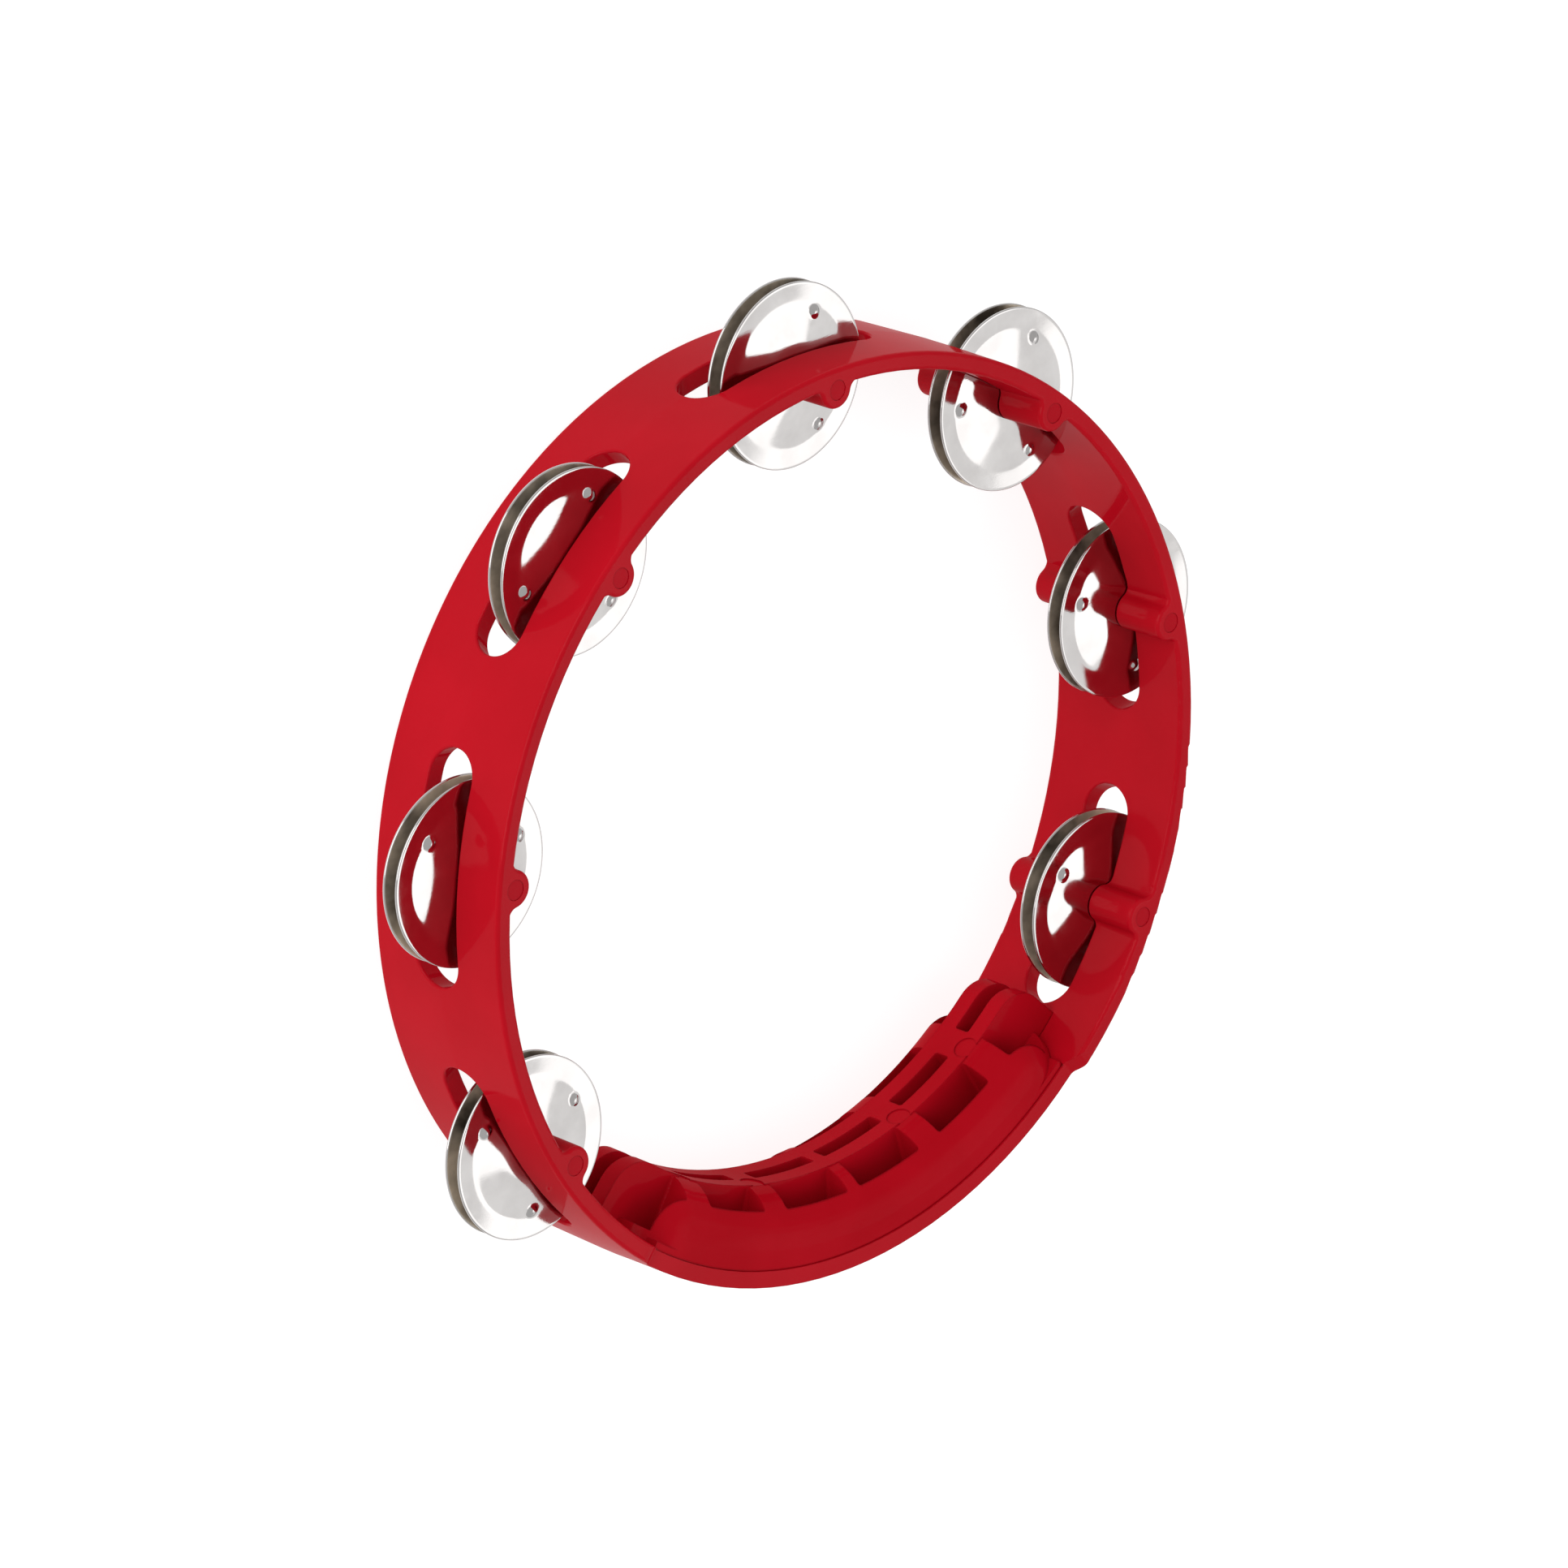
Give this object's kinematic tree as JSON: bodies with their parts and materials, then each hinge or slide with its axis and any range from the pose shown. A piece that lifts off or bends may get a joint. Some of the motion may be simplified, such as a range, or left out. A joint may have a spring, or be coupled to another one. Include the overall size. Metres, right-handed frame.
{
  "type": "tambourine",
  "caption": "Hand tambourine without a skin: a moulded red ring with a pocketed hand grip and pairs of loose domed jingles on pins in slots.",
  "frame": {"origin": "centre of the ring in the plane of its lower rim, on which it rests", "axes": "+Z along the ring's axis; the hand grip is centred on -Y; the middle jingle station is on +Y"},
  "size_m": [0.231, 0.2189, 0.0374],
  "materials": {
    "ring_plastic": "gloss",
    "grip_plastic": "satin",
    "plug_plastic": "gloss",
    "jingle_nickel": "bright nickel plate",
    "pin_steel": "drawn wire"
  },
  "bodies": {
    "ring": {"ring_frame": "ring_plastic", "grip_insert": "grip_plastic", "jingle_pin_1": "pin_steel", "jingle_pin_2": "pin_steel", "jingle_pin_3": "pin_steel", "jingle_pin_4": "pin_steel", "jingle_pin_5": "pin_steel", "jingle_pin_6": "pin_steel", "jingle_pin_7": "pin_steel", "pin_plug_1": "plug_plastic", "pin_plug_2": "plug_plastic", "pin_plug_3": "plug_plastic", "pin_plug_4": "plug_plastic", "pin_plug_5": "plug_plastic", "pin_plug_6": "plug_plastic", "pin_plug_7": "plug_plastic"},
    "jingle_1_front": {"jingle_1_front": "jingle_nickel"},
    "jingle_1_back": {"jingle_1_back": "jingle_nickel"},
    "jingle_2_front": {"jingle_2_front": "jingle_nickel"},
    "jingle_2_back": {"jingle_2_back": "jingle_nickel"},
    "jingle_3_front": {"jingle_3_front": "jingle_nickel"},
    "jingle_3_back": {"jingle_3_back": "jingle_nickel"},
    "jingle_4_front": {"jingle_4_front": "jingle_nickel"},
    "jingle_4_back": {"jingle_4_back": "jingle_nickel"},
    "jingle_5_front": {"jingle_5_front": "jingle_nickel"},
    "jingle_5_back": {"jingle_5_back": "jingle_nickel"},
    "jingle_6_front": {"jingle_6_front": "jingle_nickel"},
    "jingle_6_back": {"jingle_6_back": "jingle_nickel"},
    "jingle_7_front": {"jingle_7_front": "jingle_nickel"},
    "jingle_7_back": {"jingle_7_back": "jingle_nickel"}
  },
  "joints": [
    {"name": "jingle_1_front_slide", "type": "slide", "parent": "ring", "child": "jingle_1_front", "axis": [0, 0, 1], "range_m": [-0.0013, 0]},
    {"name": "jingle_1_back_slide", "type": "slide", "parent": "ring", "child": "jingle_1_back", "axis": [0, 0, 1], "range_m": [-0.0055, 0.0013]},
    {"name": "jingle_2_front_slide", "type": "slide", "parent": "ring", "child": "jingle_2_front", "axis": [0, 0, 1], "range_m": [-0.0013, 0]},
    {"name": "jingle_2_back_slide", "type": "slide", "parent": "ring", "child": "jingle_2_back", "axis": [0, 0, 1], "range_m": [-0.0055, 0.0013]},
    {"name": "jingle_3_front_slide", "type": "slide", "parent": "ring", "child": "jingle_3_front", "axis": [0, 0, 1], "range_m": [-0.0013, 0]},
    {"name": "jingle_3_back_slide", "type": "slide", "parent": "ring", "child": "jingle_3_back", "axis": [0, 0, 1], "range_m": [-0.0055, 0.0013]},
    {"name": "jingle_4_front_slide", "type": "slide", "parent": "ring", "child": "jingle_4_front", "axis": [0, 0, 1], "range_m": [-0.0013, 0]},
    {"name": "jingle_4_back_slide", "type": "slide", "parent": "ring", "child": "jingle_4_back", "axis": [0, 0, 1], "range_m": [-0.0055, 0.0013]},
    {"name": "jingle_5_front_slide", "type": "slide", "parent": "ring", "child": "jingle_5_front", "axis": [0, 0, 1], "range_m": [-0.0013, 0]},
    {"name": "jingle_5_back_slide", "type": "slide", "parent": "ring", "child": "jingle_5_back", "axis": [0, 0, 1], "range_m": [-0.0055, 0.0013]},
    {"name": "jingle_6_front_slide", "type": "slide", "parent": "ring", "child": "jingle_6_front", "axis": [0, 0, 1], "range_m": [-0.0013, 0]},
    {"name": "jingle_6_back_slide", "type": "slide", "parent": "ring", "child": "jingle_6_back", "axis": [0, 0, 1], "range_m": [-0.0055, 0.0013]},
    {"name": "jingle_7_front_slide", "type": "slide", "parent": "ring", "child": "jingle_7_front", "axis": [0, 0, 1], "range_m": [-0.0013, 0]},
    {"name": "jingle_7_back_slide", "type": "slide", "parent": "ring", "child": "jingle_7_back", "axis": [0, 0, 1], "range_m": [-0.0055, 0.0013]}
  ]
}
